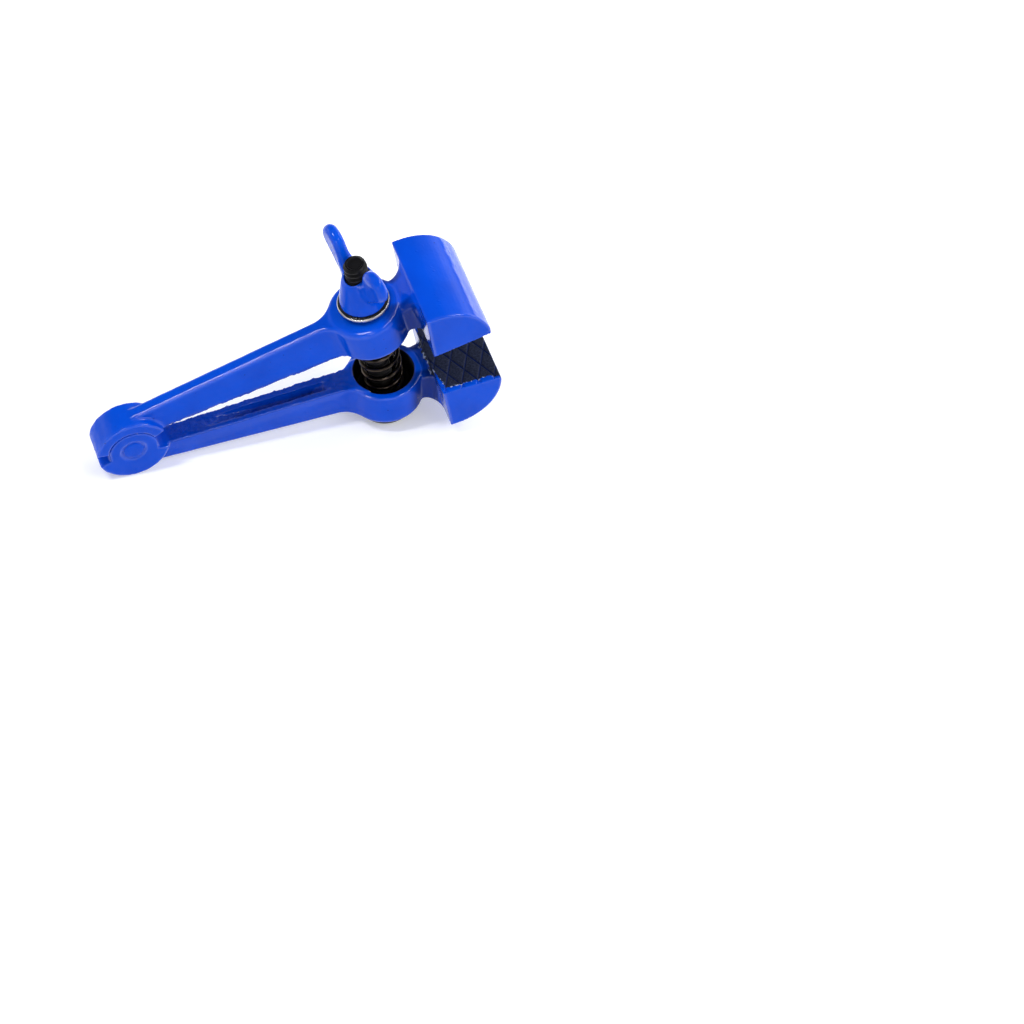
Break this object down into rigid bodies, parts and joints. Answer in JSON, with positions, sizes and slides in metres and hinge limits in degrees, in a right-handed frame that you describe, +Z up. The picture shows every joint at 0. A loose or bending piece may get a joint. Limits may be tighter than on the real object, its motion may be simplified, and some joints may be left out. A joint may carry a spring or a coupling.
{
  "type": "hand vise",
  "caption": "Small hand vise: twin cast legs hinged at a riveted knuckle, crosshatched D-shaped jaws, and a wing nut on a sprung clamp bolt.",
  "frame": {"origin": "middle of the bounding box's base, on the surface that the vise lies on", "axes": "+X from the knuckle to the jaws, +Y along the knuckle's pivot, +Z up"},
  "size_m": [0.1302, 0.036, 0.0775],
  "materials": {
    "lower_jaw_leg": "gloss enamel over a casting",
    "upper_jaw_leg": "gloss enamel over a casting",
    "pivot_rivet": "painted over with the legs",
    "clamp_bolt": "black oxide",
    "clamp_spring": "dark oiled spring wire",
    "thrust_washer": "bright plated steel",
    "wing_nut": "gloss enamel over a casting"
  },
  "bodies": {
    "lower_leg": {"lower_jaw_leg": "lower_jaw_leg", "pivot_rivet": "pivot_rivet", "clamp_spring": "clamp_spring"},
    "upper_leg": {"upper_jaw_leg": "upper_jaw_leg"},
    "bolt": {"clamp_bolt": "clamp_bolt"},
    "washer": {"thrust_washer": "thrust_washer"},
    "nut": {"wing_nut": "wing_nut"}
  },
  "joints": [
    {"name": "jaw_hinge", "type": "hinge", "parent": "lower_leg", "child": "upper_leg", "pos_m": [-0.05312, 0, 0.012], "axis": [0, -1, 0], "range_deg": [-10.7, 3.6], "deforming": ["clamp_spring"]},
    {"name": "bolt_tilt", "type": "hinge", "parent": "lower_leg", "child": "bolt", "pos_m": [0.03253, 0, 0.0046], "axis": [0, -1, 0], "range_deg": [-4.9, 1.7]},
    {"name": "washer_travel", "type": "slide", "parent": "bolt", "child": "washer", "axis": [-0.1829, 0, 0.9831], "range_m": [-0.0164, 0.0055]},
    {"name": "nut_spin", "type": "hinge", "parent": "washer", "child": "nut", "pos_m": [0.03253, 0, 0.0046], "axis": [-0.1829, 0, 0.9831], "range_deg": [-2955, 995]}
  ],
  "couplings": [
    {"joint": "nut_spin", "follows": "washer_travel", "rad_per_m": 3141.6},
    {"joint": "jaw_hinge", "follows": "washer_travel", "rad_per_m": 11.364},
    {"joint": "bolt_tilt", "follows": "washer_travel", "rad_per_m": 5.1136}
  ]
}
